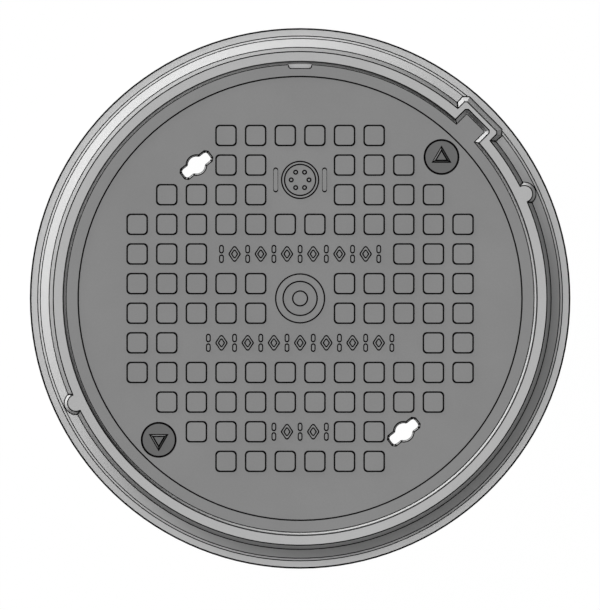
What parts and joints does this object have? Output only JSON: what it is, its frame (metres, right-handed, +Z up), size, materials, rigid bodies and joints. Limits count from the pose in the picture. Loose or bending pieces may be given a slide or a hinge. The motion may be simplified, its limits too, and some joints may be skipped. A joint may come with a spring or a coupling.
{
  "type": "cable pit cover",
  "caption": "Round cast-iron pit cover with raised square studs, lying in its flanged frame, with key-turned locks that swing latches under the seat ledge.",
  "frame": {"origin": "middle of the frame's underside, on the surface that it is bedded on", "axes": "+Z up through the cover, +Y towards the pry notch in the cover's edge, +X to the right of it seen from above"},
  "size_m": [0.73, 0.73, 0.09],
  "materials": {
    "frame_iron": "light grey coated sand casting",
    "cover_iron": "mid grey coated sand casting",
    "lock_iron": "dark grey coated, smooth",
    "latch_iron": "dark grey coated casting",
    "fixing_steel": "zinc plated"
  },
  "bodies": {
    "frame": {"frame": "frame_iron", "cover": "cover_iron"},
    "lock_a": {"lock_a_spindle": "lock_iron", "lock_a_latch": "latch_iron", "lock_a_slotted_nut": "fixing_steel", "lock_a_split_pin": "fixing_steel"},
    "lock_b": {"lock_b_spindle": "lock_iron", "lock_b_latch": "latch_iron", "lock_b_slotted_nut": "fixing_steel", "lock_b_split_pin": "fixing_steel"}
  },
  "joints": [
    {"name": "lock_a_turn", "type": "hinge", "parent": "frame", "child": "lock_a", "pos_m": [0.19092, 0.19092, 0.086], "axis": [0, 0, 1], "range_deg": [0, 90]},
    {"name": "lock_b_turn", "type": "hinge", "parent": "frame", "child": "lock_b", "pos_m": [-0.19092, -0.19092, 0.086], "axis": [0, 0, 1], "range_deg": [0, 90]}
  ]
}
